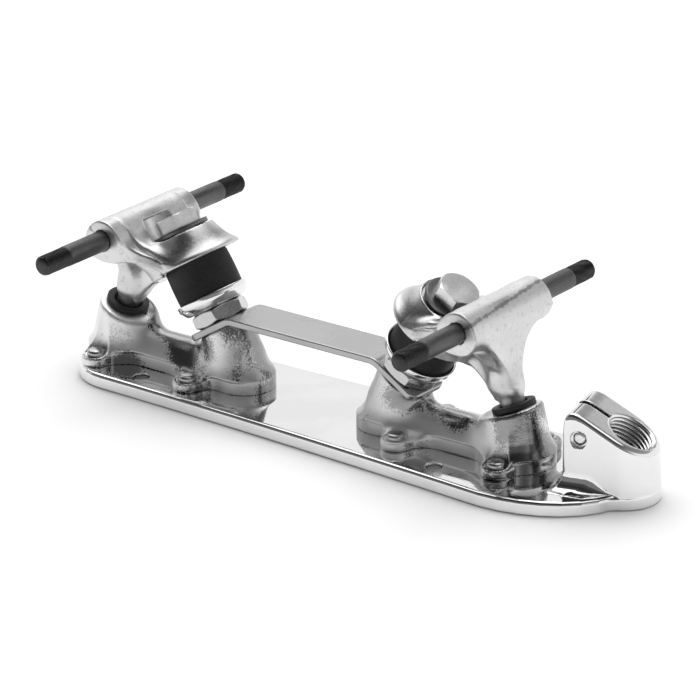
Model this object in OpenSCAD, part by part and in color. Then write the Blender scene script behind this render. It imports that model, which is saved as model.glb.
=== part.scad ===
// Roller skate plate, resting on its sole face with the trucks upwards.
// A cast sole plate with an angled toe-stop block carries two riveted truck bases. Each truck
// rocks on a rubber cushion between a pivot ball and a slanted kingpin, and a flat jump bar
// ties the two kingpin bosses together.
// +X points to the toe, +Z away from the boot, and y = 0 is the line of the two trucks.
// A truck is drawn in its own frame: u runs from the axle towards the middle of the plate.

/* [Sole plate] */
// Distance from the front axle to the toe's end
toe_overhang = 58.2; // [57:0.1:60]
// Distance from the rear axle to the heel's end
heel_overhang = 21.5; // [21:0.1:28]
// Thickness of the plate
plate_thickness = 4.8; // [4:0.1:6]
// Width at the heel
heel_width = 44.4; // [41:0.2:48]
// Width at the ball of the foot
ball_width = 57.2; // [54:0.2:62]
// Corner radius at the heel
heel_corner_r = 19.5; // [14:0.5:21]
// Distance of the widest station ahead of the front axle
ball_lead = 13.3; // [10:0.1:14.6]
// Length of the rounded shoulder ahead of the widest station
shoulder_length = 37.5; // [36:0.5:38.5]
// Radius of the nose under the toe block
nose_r = 12.4; // [12.2:0.1:13.2]
// Sideways place of the nose, which turns in to one side
nose_y = 5.5; // [4.8:0.1:6.2]
// Diameter of the holes for the boot bolts
boot_hole_d = 5.2; // [4:0.1:6]
// Spacing of the front pair of boot bolts
front_boot_spacing = 39; // [36:0.2:42]
// Spacing of the rear pair of boot bolts
rear_boot_spacing = 29.2; // [27:0.2:31]
// Distance of each pair of boot bolts from its axle, towards the middle of the plate
boot_hole_u = 10; // [9:0.2:11]

/* [Toe block] */
// Turn of the block about the vertical
toe_yaw = 15; // [10:1:18]
// Fall of the block's top towards the toe
toe_slope = 29; // [26:0.5:32]
// Width of the block
block_width = 23.8; // [23.2:0.1:24.2]
// Height of the stop hole's mouth
toe_hole_z = 22.3; // [21:0.1:23.4]
// Distance of the mouth's centre ahead of the nose's centre
toe_hole_lead = 2.9; // [2:0.1:3.4]
// Distance from the mouth's centre to the block's back, along the top
block_back = 22.6; // [22:0.1:24]
// Rounding of the block's upper back edge
block_round = 5; // [3:0.1:5.4]
// Diameter of the toe-stop thread
toe_thread_d = 15.88; // [14:0.02:16]
// Depth of the toe-stop thread
toe_thread_depth = 17; // [12:0.5:17.5]
// Width of the clamping slot
slot_w = 1.6; // [0.8:0.1:2]
// Floor of the clamping slot above the plate
slot_floor = 4; // [2:0.5:8]
// Diameter of the clamp screw
clamp_screw_d = 4; // [3.4:0.1:4.2]
// Diameter of the clamp screw's head
clamp_head_d = 7; // [6.4:0.1:7.2]
// Length of the clamp screw's head
clamp_head_l = 4; // [3:0.1:4.4]
// Width across the flats of the clamp screw's socket
clamp_socket_af = 3; // [2.5:0.1:3.4]
// Depth of the clamp screw's ends below the block's sides
clamp_sink = 1.2; // [0.4:0.1:1.6]
// Diameter of the recess at the clamp screw's tip
clamp_recess_d = 5.6; // [5:0.1:6.4]
// Distance of the clamp screw ahead of the block's back
clamp_x = 5.9; // [5.4:0.1:6]
// Height of the clamp screw
clamp_z = 21.9; // [21:0.1:22.4]

/* [Axles] */
// Distance between the axles
wheelbase = 145.3; // [130:0.1:165]
// Height of the axles above the sole face
axle_z = 53; // [52:0.2:54.5]
// Diameter of the axles
axle_d = 7; // [6:0.1:7.4]
// Length of the axles
axle_length = 103.7; // [98:0.1:112]
// Length of the wheel-nut thread at each end
axle_thread_l = 12; // [8:0.5:15]
// Depth by which the thread's root lies below the shank
axle_thread_drop = 0.45; // [0.3:0.05:0.6]
// Bevel at the axle's ends
axle_bevel = 0.9; // [0.4:0.1:1.2]
// Step from the axle's shank to its pressed middle, on the radius
axle_core_step = 0.45; // [0.3:0.05:0.6]

/* [Hangers] */
// Diameter of the axle tube
tube_d = 13.4; // [12.6:0.1:14.4]
// Length of the axle tube
tube_length = 42.8; // [40:0.2:46]
// Width of the web where it leaves the axle tube
web_width = 32; // [28:0.5:36]
// Diameter of the web's edge along the axle tube
web_d = 9; // [8:0.2:10]
// Diameter of the kingpin ring's rim
ring_d = 31.2; // [29:0.2:32]
// Thickness of the kingpin ring's rim
ring_rim_t = 3.6; // [3:0.1:4.4]
// Thickness of the kingpin ring at its middle
ring_t = 10.3; // [9.8:0.1:11]
// Diameter of the kingpin ring's crown
ring_crown_d = 21; // [20:0.2:22]
// Thickness of the rib in the plane of the truck
rib_t = 6; // [4:0.2:8]
// Room between the rib and the cushion
rib_room = 0.8; // [0.6:0.1:1.4]
// Angle that the ring's seat falls away from the washer
seat_relief = 8.3; // [8:0.1:10]
// Angle that the ring's bore opens downwards
bore_flare = 8.5; // [8.2:0.1:10]
// Room round the washer in the hanger's pocket
pocket_room = 0.7; // [0.5:0.1:0.9]
// Room above the hex head in the hanger's pocket
pocket_roof = 3; // [2.6:0.1:4]

/* [Pivots] */
// Lean of the pivot cup towards the middle of the plate
pivot_tilt = 21; // [18:0.5:24]
// Place of the pivot cup's rim, from the axle
pivot_u = -7; // [-8:0.1:-6]
// Height of the pivot cup's rim
pivot_z = 24.4; // [23.6:0.1:25.4]
// Radius of the pivot ball
pivot_ball_r = 3.6; // [3.2:0.1:4]
// Depth of the pivot ball's centre below the cup's rim
pivot_ball_drop = 5; // [4.4:0.1:6]
// Diameter of the hanger's leg where it joins the web
leg_d = 8.8; // [8:0.1:9.6]
// Length of the leg above the ball's centre
leg_length = 11.5; // [10.5:0.1:13]
// Diameter of the pivot cup
pivot_cup_d = 12.6; // [11.8:0.1:13.2]
// Diameter of the pivot cup's flange
pivot_flange_d = 14.6; // [13.8:0.1:15.4]
// Thickness of the pivot cup's flange
pivot_flange_t = 1.9; // [1.4:0.1:2.4]
// Thickness of rubber under the ball
pivot_floor_t = 1.6; // [1.2:0.1:2.4]
// Angle that the cup's mouth opens
pivot_flare = 8; // [7.5:0.5:9]

/* [Kingpins] */
// Lean of the kingpins towards the axles
kingpin_tilt = 32; // [30:0.5:34]
// Place of the kingpin boss's face, from the axle
boss_u = 35.5; // [34.8:0.1:36.5]
// Height of the kingpin boss's face
boss_z = 24; // [23.2:0.1:24.8]
// Diameter of the kingpins
kingpin_d = 9.5; // [8.5:0.1:10]
// Reach of the kingpins into the bosses
kingpin_reach = 13; // [10:0.5:14]
// Width across the flats of the kingpin's head
head_af = 13; // [12.6:0.1:14.4]
// Height of the kingpin's head
head_h = 4.8; // [4:0.1:6]
// Turn of the front kingpin's head
front_head_turn = 0; // [0:1:60]
// Turn of the rear kingpin's head
rear_head_turn = 21; // [0:1:60]
// Diameter of the washer under the head
washer_d = 19.2; // [17.6:0.1:19.6]
// Thickness of the washer under the head
washer_t = 1.5; // [1:0.1:2]
// Width across the flats of the jam nut
nut_af = 17.5; // [16.5:0.1:19]
// Thickness of the jam nut
nut_t = 5.2; // [4.6:0.1:5.8]
// Diameter of the rubber cushion
cushion_d = 22.4; // [21:0.2:23.4]
// Length of the rubber cushion
cushion_l = 15.2; // [14.4:0.1:16]
// Room between the cushion and the cup washer's wall
cushion_room = 0.3; // [0.2:0.05:0.6]
// Thickness of the cup washer's wall
cup_wall = 1.1; // [0.8:0.1:1.5]
// Height of the cup washer
cup_washer_h = 4.5; // [3.8:0.1:5.2]
// Thickness of the cup washer's floor
cup_washer_t = 1.6; // [1.2:0.1:2]
// Inset of the cup washer's floor under its wall
cup_inset = 0.3; // [0:0.05:0.4]

/* [Truck bases] */
// Thickness of the base flange
flange_t = 3.3; // [2.6:0.1:4]
// Half width of the base's spine
spine_half = 7.8; // [7.2:0.2:8.6]
// Radius of the ridge along the spine
ridge_r = 7; // [6:0.2:7.6]
// Height of the ridge's top above the plate
ridge_h = 11.4; // [10.4:0.2:12.4]
// Radius of the kingpin boss at its face
boss_r = 8.9; // [8.4:0.1:9.4]
// Radius of the kingpin boss at its foot
boss_foot_r = 9.8; // [9.4:0.1:10.4]
// Place of the kingpin boss's foot, from the axle
boss_foot_u = 43; // [42.4:0.2:44]
// Radius of the pivot housing at its foot
housing_foot_r = 12; // [11.4:0.1:12.6]
// Width of the flange's lip round the pivot housing
foot_lip = 0.2; // [0.1:0.1:0.4]
// Radius of the pivot housing at its top
housing_top_r = 9.8; // [9.4:0.1:10.4]
// Place of the pivot housing's foot, from the axle
housing_foot_u = -9.2; // [-10:0.1:-8.4]
// Place of the inner rivets, from the axle
inner_rivet_u = 29.4; // [28.6:0.2:30.4]
// Place of the outer rivets, from the axle
outer_rivet_u = -10.3; // [-11:0.1:-9.4]
// Distance of the rivets from the middle line
rivet_y = 14; // [13.4:0.1:14.8]
// Radius of the flange's ears
ear_r = 5.2; // [4.6:0.1:5.6]
// Diameter of a rivet's shank
rivet_d = 4; // [3.2:0.1:4.6]
// Diameter of a rivet's head
rivet_head_d = 6.6; // [6:0.1:8]
// Height of a rivet's head
rivet_head_h = 2.4; // [1.8:0.1:2.8]
// Depth of the spot face under a rivet's head
rivet_sink = 0.3; // [0.2:0.1:0.5]

/* [Jump bar] */
// Thickness of the jump bar
bar_t = 2.4; // [1.8:0.1:3]
// Width of the jump bar
bar_width = 17.8; // [17:0.1:18.6]
// Distance from a kingpin to the strap's end
bar_end = 10; // [9:0.1:11]
// Radius of the corners at the strap's ends
bar_corner_r = 3; // [1.5:0.1:5]
// Height of the jump bar's flat top
bar_z = 31; // [30.8:0.1:32]
// Inner radius of the jump bar's bends
bar_bend_r = 5; // [3:0.5:7]

/* [Clearances] */
// Radial room of a turning or threaded fit
running_clear = 0.05; // [0.02:0.01:0.1]
// Gap under the kingpin's head
head_gap = 0.02; // [0.01:0.01:0.04]
// Radial room of a bolt in a plain hole
bolt_clear = 0.2; // [0.1:0.05:0.4]
// Room between the jump bar's flat and the castings below it
bar_clear = 0.8; // [0.5:0.1:1.2]
// Room below the kingpin's end
kingpin_end_clear = 2; // [1:0.5:3]

/* [Hidden] */
$fn = 64;
hull_fn = 40;
hex_sides = 6;
// Thickness of the discs that shape the castings
disc_t = 1;
eps = 0.01;
far = 200;
outline_steps = 14;
taper_power = 1.5;
plate_length = wheelbase + toe_overhang + heel_overhang;
front_axle_x = plate_length / 2 - toe_overhang;
rear_axle_x = front_axle_x - wheelbase;
ball_x = front_axle_x + ball_lead;
plate_top = plate_thickness;
flange_top = plate_top + flange_t;
rivet_seat = flange_top - rivet_sink;
// Height inside the flange where the upper shapes of a base start
foot_sink = flange_t / 2;
// Heights along the kingpin's axis, from the boss's face
w_nut = bar_t;
w_cup = w_nut + nut_t;
w_cushion = w_cup + cup_washer_t;
w_ring = w_cushion + cushion_l;
w_seat = w_ring + ring_t;
w_head = w_seat + washer_t + head_gap;
pocket_r = washer_d / 2 + pocket_room;
// Inner radius of the cup washer's wall
cup_in_r = cushion_d / 2 + cushion_room;
block_half = block_width / 2;
nose_x = plate_length / 2 - nose_r;
// Back of the toe block behind the nose's centre
block_tail = block_back * cos(toe_slope) - toe_hole_lead;
// Radius at the pressed middle of the axle
axle_core_r = axle_d / 2 + axle_core_step;

// Frames

// The front truck's frame, with u towards the middle of the plate
module at_front() {
    translate([front_axle_x, 0, 0])
        mirror([1, 0, 0])
            children();
}

// The rear truck's frame, with u towards the middle of the plate
module at_rear() {
    translate([rear_axle_x, 0, 0])
        children();
}

// The kingpin's frame: its axis is +Z, from the boss's face
module on_kingpin() {
    translate([boss_u, 0, boss_z])
        rotate([0, -kingpin_tilt, 0])
            children();
}

// The pivot cup's frame: its axis is +Z, from the cup's rim
module on_pivot() {
    translate([pivot_u, 0, pivot_z])
        rotate([0, pivot_tilt, 0])
            children();
}

// The toe block's frame: +X forwards along the block, from the nose's centre
module on_toe() {
    translate([nose_x, nose_y, 0])
        rotate([0, 0, toe_yaw])
            children();
}

// A cylinder along Y, centred on the middle line
module cross_bar(r, length) {
    rotate([90, 0, 0])
        cylinder(r = r, h = length, center = true);
}

// Sole plate

// Half width of the plate at x, behind the widest station
function side_half(x) =
    let (start = heel_corner_r - plate_length / 2,
         t = max(0, (x - start) / (ball_x - start)))
    heel_width / 2 + (ball_width - heel_width) / 2 * pow(t, taper_power);

// One side of the outline from the heel to the front of the shoulder
side_points = concat(
    [for (i = [0 : outline_steps])
        let (a = 90 * i / outline_steps)
        [heel_corner_r * (1 - cos(a)) - plate_length / 2,
         heel_width / 2 - heel_corner_r * (1 - sin(a))]],
    [for (i = [1 : outline_steps])
        let (start = heel_corner_r - plate_length / 2,
             x = start + (ball_x - start) * i / outline_steps)
        [x, side_half(x)]],
    [for (i = [1 : outline_steps])
        let (a = 90 * i / outline_steps)
        [ball_x + shoulder_length * sin(a), ball_width / 2 * cos(a)]]);

module plate_outline() {
    mirrored = [for (i = [len(side_points) - 2 : -1 : 0]) [side_points[i].x, -side_points[i].y]];
    polygon(concat(side_points, mirrored));
    translate([nose_x, nose_y])
        circle(r = nose_r);
}

// Side view of the toe block, with the nose's centre at x = 0
module block_profile() {
    top_back = toe_hole_z + block_back * sin(toe_slope);
    corner = 90 + toe_slope;
    reach = block_round * tan(corner / 2);
    arc = [for (i = [0 : outline_steps])
        let (a = 180 - corner * i / outline_steps)
        [block_round - block_tail + block_round * cos(a), top_back - reach + block_round * sin(a)]];
    toe = block_half + eps;
    polygon(concat(
        [[toe, 0], [-block_tail, 0]],
        arc,
        [[toe, toe_hole_z - (toe - toe_hole_lead) * tan(toe_slope)]]));
}

module toe_block() {
    on_toe()
        intersection() {
            rotate([90, 0, 0])
                linear_extrude(height = block_width, center = true)
                    block_profile();
            linear_extrude(height = far)
                union() {
                    translate([-block_tail, -block_half])
                        square([block_tail, block_width]);
                    circle(r = block_half);
                }
        }
}

// The stop hole, the slot and the clamp screw's hole
module toe_cuts() {
    on_toe() {
        translate([toe_hole_lead, 0, toe_hole_z])
            rotate([0, toe_slope, 0])
                translate([0, 0, -toe_thread_depth])
                    cylinder(d = toe_thread_d, h = toe_thread_depth + far);
        translate([-block_tail - eps, -slot_w / 2, plate_top + slot_floor])
            cube([block_tail, slot_w, far]);
        translate([clamp_x - block_tail, 0, clamp_z]) {
            rotate([90, 0, 0])
                cylinder(d = clamp_screw_d + 2 * running_clear, h = block_width + 2, center = true);
            translate([0, block_half - clamp_sink - clamp_head_l, 0])
                rotate([-90, 0, 0])
                    cylinder(d = clamp_head_d + 2 * bolt_clear, h = far);
            translate([0, clamp_sink - block_half, 0])
                rotate([90, 0, 0])
                    cylinder(d = clamp_recess_d, h = far);
        }
    }
}

module boot_holes(spacing) {
    for (side = [-1, 1])
        translate([boot_hole_u, side * spacing / 2, -eps])
            cylinder(d = boot_hole_d, h = plate_thickness + 2 * eps);
}

module sole_plate() {
    color("gainsboro")
        difference() {
            union() {
                linear_extrude(height = plate_thickness)
                    plate_outline();
                toe_block();
            }
            toe_cuts();
            at_front() {
                boot_holes(front_boot_spacing);
                rivet_shanks(rivet_d / 2 + running_clear);
            }
            at_rear() {
                boot_holes(rear_boot_spacing);
                rivet_shanks(rivet_d / 2 + running_clear);
            }
        }
}

// The screw that closes the slot round the toe stop, with its head on the +Y side
module toe_clamp_screw() {
    shank_l = block_width - 2 * clamp_sink - clamp_head_l;
    color("silver")
        on_toe()
            translate([clamp_x - block_tail, block_half - clamp_sink - clamp_head_l, clamp_z])
                rotate([-90, 0, 0])
                    difference() {
                        union() {
                            cylinder(d = clamp_head_d, h = clamp_head_l);
                            translate([0, 0, -shank_l])
                                cylinder(d = clamp_screw_d, h = shank_l + eps);
                        }
                        translate([0, 0, clamp_head_l / 2])
                            cylinder(d = clamp_socket_af * 2 / sqrt(3), h = clamp_head_l, $fn = hex_sides);
                    }
}

// Truck bases

module rivet_places() {
    for (u = [outer_rivet_u, inner_rivet_u], side = [-1, 1])
        translate([u, side * rivet_y, 0])
            children();
}

module rivet_shanks(r) {
    rivet_places()
        translate([0, 0, -eps])
            cylinder(r = r, h = flange_top + 2 * eps);
}

module base_flange() {
    translate([0, 0, plate_top])
        linear_extrude(height = flange_t) {
            rivet_places()
                circle(r = ear_r);
            for (u = [outer_rivet_u, inner_rivet_u])
                translate([u - ear_r, -rivet_y])
                    square([2 * ear_r, 2 * rivet_y]);
            translate([outer_rivet_u, -spine_half])
                square([boss_foot_u - outer_rivet_u, 2 * spine_half]);
            translate([housing_foot_u, 0])
                circle(r = housing_foot_r + foot_lip);
        }
}

// The round-topped ridge along the base between the pivot housing and the kingpin boss
module base_ridge() {
    dome = [for (i = [0 : outline_steps])
        let (a = 180 * i / outline_steps)
        [ridge_r * cos(a), ridge_h - ridge_r + ridge_r * sin(a)]];
    translate([housing_foot_u, 0, plate_top])
        rotate([90, 0, 90])
            linear_extrude(height = boss_foot_u - housing_foot_u)
                polygon(concat([[-ridge_r, foot_sink], [ridge_r, foot_sink]], dome));
}

// The kingpin boss, square to the kingpin at its face and upright at its foot
module base_boss() {
    hull($fn = hull_fn) {
        on_kingpin()
            translate([0, 0, -disc_t])
                cylinder(r = boss_r, h = disc_t);
        on_kingpin()
            translate([0, 0, -kingpin_reach - disc_t])
                cylinder(r = (boss_r + boss_foot_r) / 2, h = disc_t);
        translate([boss_foot_u, 0, plate_top])
            cylinder(r = boss_foot_r, h = flange_t);
    }
}

// The tapered pivot housing, leaning a little towards the kingpin
module base_housing() {
    rise = pivot_z - plate_top;
    lean = atan((pivot_u - housing_foot_u) / rise);
    difference() {
        translate([housing_foot_u, 0, plate_top])
            rotate([0, lean, 0])
                cylinder(r1 = housing_foot_r, r2 = housing_top_r, h = rise + housing_top_r);
        translate([-far / 2, -far / 2, plate_top + foot_sink - far])
            cube(far);
        on_pivot()
            translate([-far / 2, -far / 2, -pivot_flange_t])
                cube(far);
    }
}

module truck_base() {
    color("darkgray")
        difference() {
            union() {
                base_flange();
                base_ridge();
                base_boss();
                base_housing();
            }
            translate([boss_u, -far / 2, bar_z - bar_t - bar_clear])
                cube(far);
            on_kingpin()
                translate([0, 0, -kingpin_reach - kingpin_end_clear])
                    cylinder(d = kingpin_d + 2 * running_clear, h = far);
            on_pivot()
                translate([0, 0, -pivot_socket_depth()])
                    cylinder(d = pivot_cup_d, h = far);
            rivet_shanks(rivet_d / 2 + running_clear);
            rivet_places()
                translate([0, 0, rivet_seat])
                    cylinder(d = rivet_head_d + 2 * bolt_clear, h = far);
        }
}

module base_rivets() {
    color("gray")
        rivet_places() {
            cylinder(d = rivet_d, h = rivet_seat + eps);
            translate([0, 0, rivet_seat])
                rivet_head();
        }
}

// A low dome of the given diameter and height
module rivet_head() {
    ball = (pow(rivet_head_d / 2, 2) + pow(rivet_head_h, 2)) / (2 * rivet_head_h);
    intersection() {
        translate([0, 0, rivet_head_h - ball])
            sphere(r = ball);
        cylinder(d = rivet_head_d + 1, h = rivet_head_h + 1);
    }
}

// Pivots

// Depth of the pivot cup below its rim
function pivot_socket_depth() = pivot_ball_drop + pivot_ball_r + running_clear + pivot_floor_t;

module pivot_cup() {
    socket_r = pivot_ball_r + running_clear;
    color("dimgray")
        on_pivot()
            difference() {
                union() {
                    translate([0, 0, -pivot_socket_depth()])
                        cylinder(d = pivot_cup_d, h = pivot_socket_depth());
                    translate([0, 0, -pivot_flange_t])
                        cylinder(d = pivot_flange_d, h = pivot_flange_t);
                }
                translate([0, 0, -pivot_ball_drop])
                    rotate_extrude()
                        polygon(concat(
                            [for (i = [0 : outline_steps])
                                let (a = -90 + 90 * i / outline_steps)
                                [socket_r * cos(a), socket_r * sin(a)]],
                            [[socket_r + (pivot_ball_drop + 1) * tan(pivot_flare), pivot_ball_drop + 1],
                             [0, pivot_ball_drop + 1]]));
            }
}

// Hangers

// The pivot leg with its ball, along the pivot cup's axis
module pivot_leg() {
    on_pivot()
        translate([0, 0, -pivot_ball_drop]) {
            sphere(r = pivot_ball_r);
            cylinder(r1 = pivot_ball_r - running_clear, r2 = leg_d / 2, h = leg_length);
        }
}

// The web from the axle tube down to the leg
module hanger_web() {
    hull($fn = hull_fn) {
        translate([0, 0, axle_z])
            cross_bar(web_d / 2, web_width);
        on_pivot()
            translate([0, 0, leg_length - pivot_ball_drop - disc_t])
                cylinder(d = leg_d, h = disc_t);
    }
}

// The neck from the axle tube to the kingpin ring
module hanger_neck() {
    hull($fn = hull_fn) {
        translate([0, 0, axle_z])
            cross_bar(web_d / 2 + disc_t, ring_crown_d);
        on_kingpin()
            translate([0, 0, w_ring + ring_rim_t / 2])
                cylinder(d = ring_crown_d, h = ring_t - ring_rim_t);
    }
}

// The skirt from the axle tube to the kingpin ring's rim
module hanger_skirt() {
    hull($fn = hull_fn) {
        translate([0, 0, axle_z - tube_d / 4])
            cross_bar(ring_rim_t / 2, ring_d);
        on_kingpin()
            translate([0, 0, w_ring])
                cylinder(d = ring_d, h = ring_rim_t);
    }
}

// The rib under the neck, in the truck's plane
module hanger_rib() {
    top = leg_length - pivot_ball_drop;
    leg_top = [pivot_u + top * sin(pivot_tilt), pivot_z + top * cos(pivot_tilt)];
    low_r = cushion_d / 2 + rib_room;
    ring_low = [boss_u - w_ring * sin(kingpin_tilt) - low_r * cos(kingpin_tilt),
                boss_z + w_ring * cos(kingpin_tilt) - low_r * sin(kingpin_tilt)];
    rotate([90, 0, 0])
        linear_extrude(height = rib_t, center = true)
            polygon([[0, axle_z], leg_top, leg_top + [leg_d / 3, -leg_d / 3], ring_low,
                     ring_low + [ring_rim_t, ring_rim_t]]);
}

// The kingpin ring: a thin rim that swells to a crown
module hanger_ring() {
    on_kingpin()
        translate([0, 0, w_ring]) {
            cylinder(d = ring_d, h = ring_rim_t);
            cylinder(d1 = ring_d, d2 = ring_crown_d, h = ring_t);
        }
}

module truck_hanger() {
    color("lightgray")
        difference() {
            union() {
                translate([0, 0, axle_z])
                    cross_bar(tube_d / 2, tube_length);
                hanger_web();
                hanger_neck();
                hanger_skirt();
                hanger_rib();
                hanger_ring();
                pivot_leg();
            }
            translate([0, 0, axle_z])
                cross_bar(axle_core_r, tube_length + 2);
            on_kingpin()
                kingpin_room();
        }
}

// What the kingpin, its washer and its head need when the hanger rocks
module kingpin_room() {
    bore_r = kingpin_d / 2 + bolt_clear;
    rotate_extrude()
        polygon([[0, w_ring - far / 10],
                 [bore_r + ring_t * tan(bore_flare), w_ring - far / 10],
                 [bore_r + ring_t * tan(bore_flare), w_ring],
                 [bore_r, w_seat],
                 [0, w_seat]]);
    rotate_extrude()
        polygon([[0, w_seat],
                 [pocket_r, w_seat - pocket_r * tan(seat_relief)],
                 [pocket_r, w_head + head_h + pocket_roof],
                 [0, w_head + head_h + pocket_roof]]);
}

module truck_axle() {
    shank = axle_length / 2 - axle_thread_l;
    thread_r = axle_d / 2 - axle_thread_drop;
    color("dimgray")
        translate([0, 0, axle_z])
            rotate([90, 0, 0]) {
                cylinder(r = axle_core_r, h = tube_length, center = true);
                cylinder(d = axle_d, h = 2 * shank, center = true);
                for (side = [0, 1])
                    mirror([0, 0, side])
                        translate([0, 0, shank]) {
                            cylinder(r = thread_r, h = axle_thread_l - axle_bevel);
                            translate([0, 0, axle_thread_l - axle_bevel])
                                cylinder(r1 = thread_r, r2 = thread_r - axle_bevel, h = axle_bevel);
                        }
            }
}

// Kingpin stack

// A hexagonal prism with its top corners bevelled
module hex_prism(af, height) {
    corner_r = af / sqrt(3);
    bevel = (corner_r - af / 2) / 2;
    intersection() {
        cylinder(r = corner_r, h = height, $fn = hex_sides);
        union() {
            cylinder(r = corner_r + 1, h = height - bevel);
            translate([0, 0, height - bevel])
                cylinder(r1 = corner_r + eps, r2 = corner_r - 2 * bevel, h = bevel);
        }
    }
}

module kingpin(turn) {
    color("lightsteelblue")
        on_kingpin() {
            translate([0, 0, w_head])
                rotate([0, 0, turn])
                    hex_prism(head_af, head_h);
            translate([0, 0, -kingpin_reach])
                cylinder(d = kingpin_d, h = w_head + kingpin_reach + eps);
        }
}

module kingpin_washer() {
    color("slategray")
        on_kingpin()
            translate([0, 0, w_seat])
                difference() {
                    cylinder(d = washer_d, h = washer_t);
                    translate([0, 0, -eps])
                        cylinder(d = kingpin_d + 2 * running_clear, h = washer_t + 2 * eps);
                }
}

module cushion() {
    color("black")
        on_kingpin()
            translate([0, 0, w_cushion])
                difference() {
                    cylinder(d = cushion_d, h = cushion_l);
                    translate([0, 0, -eps])
                        cylinder(d = kingpin_d + 2 * bolt_clear, h = cushion_l + 2 * eps);
                }
}

// A dished washer: a flat floor and a wall that opens outwards to the brim
module cup_washer() {
    floor_r = cup_in_r - cup_inset;
    brim_r = cup_in_r + cup_wall;
    hole_r = kingpin_d / 2 + bolt_clear;
    color("whitesmoke")
        on_kingpin()
            translate([0, 0, w_cup])
                rotate_extrude()
                    polygon([[hole_r, 0],
                             [floor_r, 0],
                             [brim_r, cup_washer_h - cup_washer_t],
                             [brim_r, cup_washer_h],
                             [cup_in_r, cup_washer_h],
                             [cup_in_r, cup_washer_t],
                             [hole_r, cup_washer_t]]);
}

module jam_nut() {
    color("silver")
        on_kingpin()
            translate([0, 0, w_nut])
                difference() {
                    intersection() {
                        hex_prism(nut_af, nut_t);
                        translate([0, 0, nut_t])
                            mirror([0, 0, 1])
                                hex_prism(nut_af, nut_t);
                    }
                    translate([0, 0, -eps])
                        cylinder(d = kingpin_d + 2 * running_clear, h = nut_t + 2 * eps);
                }
}

// Jump bar

// Half of the bar's side view in the truck's frame, from the kingpin to the plate's middle
module bar_profile(middle_u) {
    t = kingpin_tilt;
    low_z = bar_z - bar_t;
    corner_u = boss_u + (low_z - boss_z) / tan(t);
    bend_u = corner_u + bar_bend_r * tan(t / 2);
    bend_z = low_z - bar_bend_r;
    lower = [for (i = [0 : outline_steps])
        let (a = 90 + t - t * i / outline_steps)
        [bend_u + bar_bend_r * cos(a), bend_z + bar_bend_r * sin(a)]];
    upper = [for (i = [0 : outline_steps])
        let (a = 90 + t * i / outline_steps)
        [bend_u + (bar_bend_r + bar_t) * cos(a), bend_z + (bar_bend_r + bar_t) * sin(a)]];
    polygon(concat(
        [[boss_u, boss_z]],
        lower,
        [[middle_u, low_z], [middle_u, bar_z]],
        upper,
        [[boss_u - bar_t * sin(t), boss_z + bar_t * cos(t)]]));
}

// The strap's end beyond a kingpin, with round corners
module bar_tip() {
    straight = bar_end - bar_corner_r;
    inside = bar_width / 2 - bar_corner_r;
    translate([-straight, -bar_width / 2])
        square([straight + bar_corner_r, bar_width]);
    translate([-bar_end, -inside])
        square([bar_end, 2 * inside]);
    for (side = [-1, 1])
        translate([-straight, side * inside])
            circle(r = bar_corner_r);
}

module bar_half() {
    difference() {
        union() {
            rotate([90, 0, 0])
                linear_extrude(height = bar_width, center = true)
                    bar_profile(wheelbase / 2);
            on_kingpin()
                linear_extrude(height = bar_t)
                    bar_tip();
        }
        on_kingpin()
            translate([0, 0, -1])
                cylinder(d = kingpin_d + 2 * bolt_clear, h = bar_t + 2);
    }
}

module jump_bar() {
    color("lightslategray") {
        at_front()
            bar_half();
        at_rear()
            bar_half();
    }
}

// Named pieces

module front_base() { at_front() truck_base(); }
module front_base_rivets() { at_front() base_rivets(); }
module front_pivot_cup() { at_front() pivot_cup(); }
module front_hanger() { at_front() truck_hanger(); }
module front_axle() { at_front() truck_axle(); }
module front_kingpin() { at_front() kingpin(front_head_turn); }
module front_kingpin_washer() { at_front() kingpin_washer(); }
module front_cushion() { at_front() cushion(); }
module front_cup_washer() { at_front() cup_washer(); }
module front_jam_nut() { at_front() jam_nut(); }
module rear_base() { at_rear() truck_base(); }
module rear_base_rivets() { at_rear() base_rivets(); }
module rear_pivot_cup() { at_rear() pivot_cup(); }
module rear_hanger() { at_rear() truck_hanger(); }
module rear_axle() { at_rear() truck_axle(); }
module rear_kingpin() { at_rear() kingpin(rear_head_turn); }
module rear_kingpin_washer() { at_rear() kingpin_washer(); }
module rear_cushion() { at_rear() cushion(); }
module rear_cup_washer() { at_rear() cup_washer(); }
module rear_jam_nut() { at_rear() jam_nut(); }

sole_plate();
toe_clamp_screw();
jump_bar();
front_base();
front_base_rivets();
front_pivot_cup();
front_hanger();
front_axle();
front_kingpin();
front_kingpin_washer();
front_cushion();
front_cup_washer();
front_jam_nut();
rear_base();
rear_base_rivets();
rear_pivot_cup();
rear_hanger();
rear_axle();
rear_kingpin();
rear_kingpin_washer();
rear_cushion();
rear_cup_washer();
rear_jam_nut();
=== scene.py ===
"""Looks of a roller skate plate: a polished sole plate, two cast trucks, steel hardware and rubber."""
import math

import bpy
import numpy as np
from bpy.props import FloatProperty, FloatVectorProperty, PointerProperty
from mathutils import Matrix, Vector


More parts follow.
